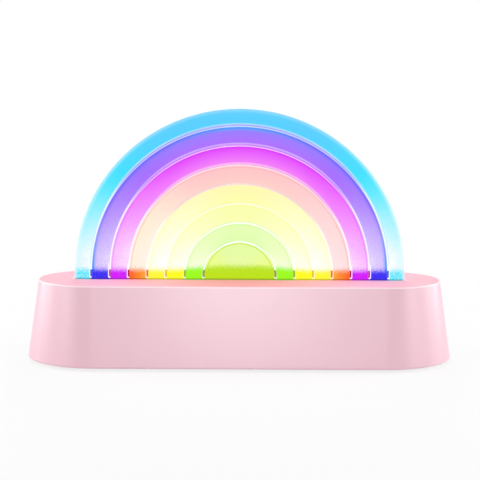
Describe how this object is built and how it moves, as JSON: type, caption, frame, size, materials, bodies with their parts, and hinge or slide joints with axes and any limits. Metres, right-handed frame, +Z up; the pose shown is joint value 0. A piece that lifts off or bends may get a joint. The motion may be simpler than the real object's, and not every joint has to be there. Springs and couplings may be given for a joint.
{
  "type": "rainbow table lamp",
  "caption": "Edge-lit clear plate of nested rainbow arches in a pink oval-ended battery base with a light strip, control board, charging socket, mode button and power switch.",
  "frame": {"origin": "centre of the footprint, on the surface that the lamp stands on", "axes": "+X along the base (to the right seen from the front), +Y to the back, where the controls are, +Z up"},
  "size_m": [0.2296, 0.0576, 0.134],
  "materials": {
    "housing_plastic": "pale pink moulded plastic, satin, top face a little deeper in colour",
    "cover_plastic": "pale pink moulded plastic, fine matt texture",
    "rubber": "pale grey soft rubber",
    "screw_steel": "zinc-plated steel, cross recess",
    "clear_plate": "clear polished acrylic sheet, lit from its lower edge, each band in its own colour",
    "white_plastic": "white moulded plastic",
    "white_board": "circuit board with white solder mask",
    "led_package": "white light-emitting diode packages with clear lenses",
    "connector_nylon": "natural nylon",
    "wire_cover": "soft wire insulation",
    "green_board": "circuit board with green solder mask",
    "chip_black": "black moulded component bodies with tinned ends",
    "socket_steel": "bright plated steel shell",
    "switch_black": "black nylon",
    "control_plastic": "pale pink moulded plastic, satin",
    "cell_sleeve": "light blue shrink sleeve over a steel can"
  },
  "bodies": {
    "lamp": {"base_housing": "housing_plastic", "bottom_cover": "cover_plastic", "rubber_feet": "rubber", "cover_screws": "screw_steel", "rainbow_plate": "clear_plate", "light_box": "white_plastic", "light_box_screws": "screw_steel", "led_board": "white_board", "led_board_screws": "screw_steel", "leds": "led_package", "led_board_connector": "connector_nylon", "led_wires": "wire_cover", "control_board": "green_board", "control_board_screws": "screw_steel", "board_parts": "chip_black", "led_connector": "connector_nylon", "battery_connector": "connector_nylon", "usb_socket": "socket_steel", "tact_switch": "switch_black", "slide_switch": "socket_steel", "battery_cell": "cell_sleeve", "battery_guard_board": "green_board", "battery_wires": "wire_cover", "battery_strap": "white_plastic", "battery_strap_screws": "screw_steel"},
    "button": {"mode_button": "control_plastic", "tact_plunger": "switch_black"},
    "switch": {"power_knob": "control_plastic", "switch_lever": "switch_black"}
  },
  "joints": [
    {"name": "mode_button_press", "type": "slide", "parent": "lamp", "child": "button", "axis": [0, -1, 0], "range_m": [0, 0.0005], "stiffness_N_per_m": 3000},
    {"name": "power_switch_slide", "type": "slide", "parent": "lamp", "child": "switch", "axis": [1, 0, 0], "range_m": [0, 0.002]}
  ]
}
